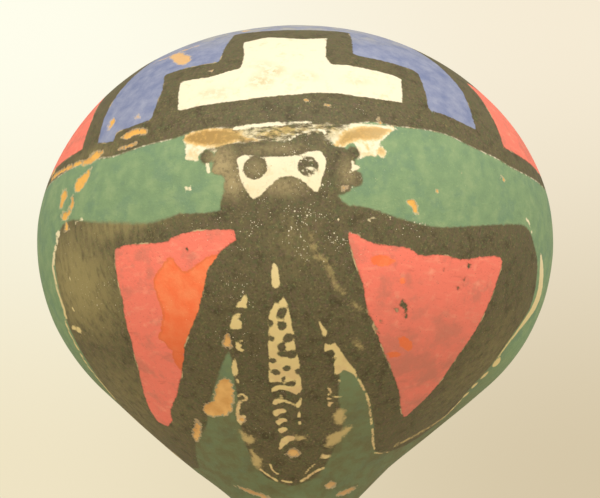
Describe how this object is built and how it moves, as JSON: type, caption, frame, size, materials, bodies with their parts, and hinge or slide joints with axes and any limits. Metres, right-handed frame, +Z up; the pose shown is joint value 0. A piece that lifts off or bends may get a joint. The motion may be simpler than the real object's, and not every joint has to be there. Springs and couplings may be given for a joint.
{
  "type": "maraca",
  "caption": "Painted gourd shaker: a hollow top-shaped gourd on a turned wooden grip, with loose seeds that rattle inside when it is shaken.",
  "frame": {"origin": "centre of the grip's flat end, on the axis that the grip and the gourd share", "axes": "+Z up the axis from the grip to the crown of the gourd; the main painted figure faces -Y and +X is to its right"},
  "size_m": [0.1, 0.1, 0.2122],
  "materials": {
    "painted_gourd": "matte tempera paint in black, green, red, blue and cream over a cream ground on dried gourd",
    "handle_wood": "turned, sanded and oiled hardwood, worn by the hand",
    "putty": "sawdust and glue filler, matte",
    "peg_wood": "split bamboo, cut flush",
    "seed_husk": "dry seed, low sheen"
  },
  "bodies": {
    "maraca": {"gourd_shell": "painted_gourd", "handle": "handle_wood", "neck_putty": "putty", "peg_left": "peg_wood", "peg_right": "peg_wood"},
    "seed_01": {"seed_01": "seed_husk"},
    "seed_02": {"seed_02": "seed_husk"},
    "seed_03": {"seed_03": "seed_husk"},
    "seed_04": {"seed_04": "seed_husk"},
    "seed_05": {"seed_05": "seed_husk"},
    "seed_06": {"seed_06": "seed_husk"},
    "seed_07": {"seed_07": "seed_husk"},
    "seed_08": {"seed_08": "seed_husk"},
    "seed_09": {"seed_09": "seed_husk"},
    "seed_10": {"seed_10": "seed_husk"},
    "seed_11": {"seed_11": "seed_husk"},
    "seed_12": {"seed_12": "seed_husk"},
    "seed_13": {"seed_13": "seed_husk"},
    "seed_14": {"seed_14": "seed_husk"},
    "seed_15": {"seed_15": "seed_husk"},
    "seed_16": {"seed_16": "seed_husk"},
    "seed_17": {"seed_17": "seed_husk"},
    "seed_18": {"seed_18": "seed_husk"},
    "seed_19": {"seed_19": "seed_husk"},
    "seed_20": {"seed_20": "seed_husk"},
    "seed_21": {"seed_21": "seed_husk"},
    "seed_22": {"seed_22": "seed_husk"},
    "seed_23": {"seed_23": "seed_husk"},
    "seed_24": {"seed_24": "seed_husk"}
  },
  "joints": [
    {"name": "seed_01_rattle", "type": "slide", "parent": "maraca", "child": "seed_01", "axis": [0, 0, 1], "range_m": [0, 0.073]},
    {"name": "seed_02_rattle", "type": "slide", "parent": "maraca", "child": "seed_02", "axis": [0, 0, 1], "range_m": [0, 0.073]},
    {"name": "seed_03_rattle", "type": "slide", "parent": "maraca", "child": "seed_03", "axis": [0, 0, 1], "range_m": [0, 0.073]},
    {"name": "seed_04_rattle", "type": "slide", "parent": "maraca", "child": "seed_04", "axis": [0, 0, 1], "range_m": [0, 0.073]},
    {"name": "seed_05_rattle", "type": "slide", "parent": "maraca", "child": "seed_05", "axis": [0, 0, 1], "range_m": [0, 0.073]},
    {"name": "seed_06_rattle", "type": "slide", "parent": "maraca", "child": "seed_06", "axis": [0, 0, 1], "range_m": [0, 0.073]},
    {"name": "seed_07_rattle", "type": "slide", "parent": "maraca", "child": "seed_07", "axis": [0, 0, 1], "range_m": [0, 0.073]},
    {"name": "seed_08_rattle", "type": "slide", "parent": "maraca", "child": "seed_08", "axis": [0, 0, 1], "range_m": [0, 0.073]},
    {"name": "seed_09_rattle", "type": "slide", "parent": "maraca", "child": "seed_09", "axis": [0, 0, 1], "range_m": [0, 0.073]},
    {"name": "seed_10_rattle", "type": "slide", "parent": "maraca", "child": "seed_10", "axis": [0, 0, 1], "range_m": [0, 0.063]},
    {"name": "seed_11_rattle", "type": "slide", "parent": "maraca", "child": "seed_11", "axis": [0, 0, 1], "range_m": [0, 0.063]},
    {"name": "seed_12_rattle", "type": "slide", "parent": "maraca", "child": "seed_12", "axis": [0, 0, 1], "range_m": [0, 0.063]},
    {"name": "seed_13_rattle", "type": "slide", "parent": "maraca", "child": "seed_13", "axis": [0, 0, 1], "range_m": [0, 0.063]},
    {"name": "seed_14_rattle", "type": "slide", "parent": "maraca", "child": "seed_14", "axis": [0, 0, 1], "range_m": [0, 0.063]},
    {"name": "seed_15_rattle", "type": "slide", "parent": "maraca", "child": "seed_15", "axis": [0, 0, 1], "range_m": [0, 0.063]},
    {"name": "seed_16_rattle", "type": "slide", "parent": "maraca", "child": "seed_16", "axis": [0, 0, 1], "range_m": [0, 0.063]},
    {"name": "seed_17_rattle", "type": "slide", "parent": "maraca", "child": "seed_17", "axis": [0, 0, 1], "range_m": [0, 0.063]},
    {"name": "seed_18_rattle", "type": "slide", "parent": "maraca", "child": "seed_18", "axis": [0, 0, 1], "range_m": [0, 0.063]},
    {"name": "seed_19_rattle", "type": "slide", "parent": "maraca", "child": "seed_19", "axis": [0, 0, 1], "range_m": [0, 0.063]},
    {"name": "seed_20_rattle", "type": "slide", "parent": "maraca", "child": "seed_20", "axis": [0, 0, 1], "range_m": [0, 0.063]},
    {"name": "seed_21_rattle", "type": "slide", "parent": "maraca", "child": "seed_21", "axis": [0, 0, 1], "range_m": [0, 0.063]},
    {"name": "seed_22_rattle", "type": "slide", "parent": "maraca", "child": "seed_22", "axis": [0, 0, 1], "range_m": [0, 0.063]},
    {"name": "seed_23_rattle", "type": "slide", "parent": "maraca", "child": "seed_23", "axis": [0, 0, 1], "range_m": [0, 0.063]},
    {"name": "seed_24_rattle", "type": "slide", "parent": "maraca", "child": "seed_24", "axis": [0, 0, 1], "range_m": [0, 0.063]}
  ]
}
